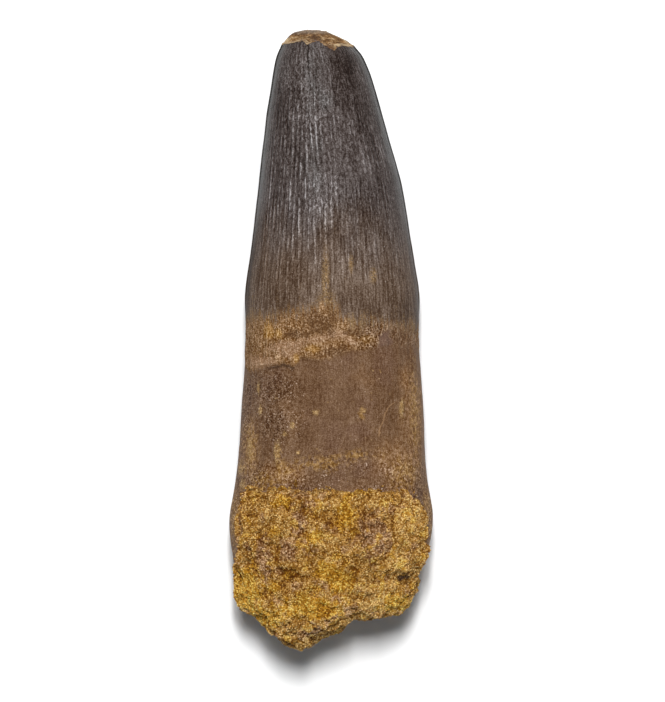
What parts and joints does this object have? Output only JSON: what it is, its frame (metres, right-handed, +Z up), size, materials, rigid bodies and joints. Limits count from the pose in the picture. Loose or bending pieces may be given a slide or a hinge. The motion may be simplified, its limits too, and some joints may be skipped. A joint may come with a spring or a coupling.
{
  "type": "spinosaurus tooth",
  "caption": "Large conical fossil tooth of a spinosaurid, fluted dark crown with a broken tip on a smooth brown root, its broken end set in ochre sandstone. It lies on its side.",
  "frame": {"origin": "middle of the bounding box's underside, on the surface the fossil lies on", "axes": "+Y from the root towards the tip, +Z up from the surface it lies on, +X across the tooth, to the right when the tip points away"},
  "size_m": [0.0358, 0.1102, 0.0306],
  "materials": {
    "tooth": "mineralised tooth: dark grey-brown enamel with a low polish, matt brown root",
    "sandstone": "rough, grainy ochre sandstone"
  },
  "bodies": {
    "root": {"tooth": "tooth", "sandstone_matrix": "sandstone"}
  },
  "joints": []
}
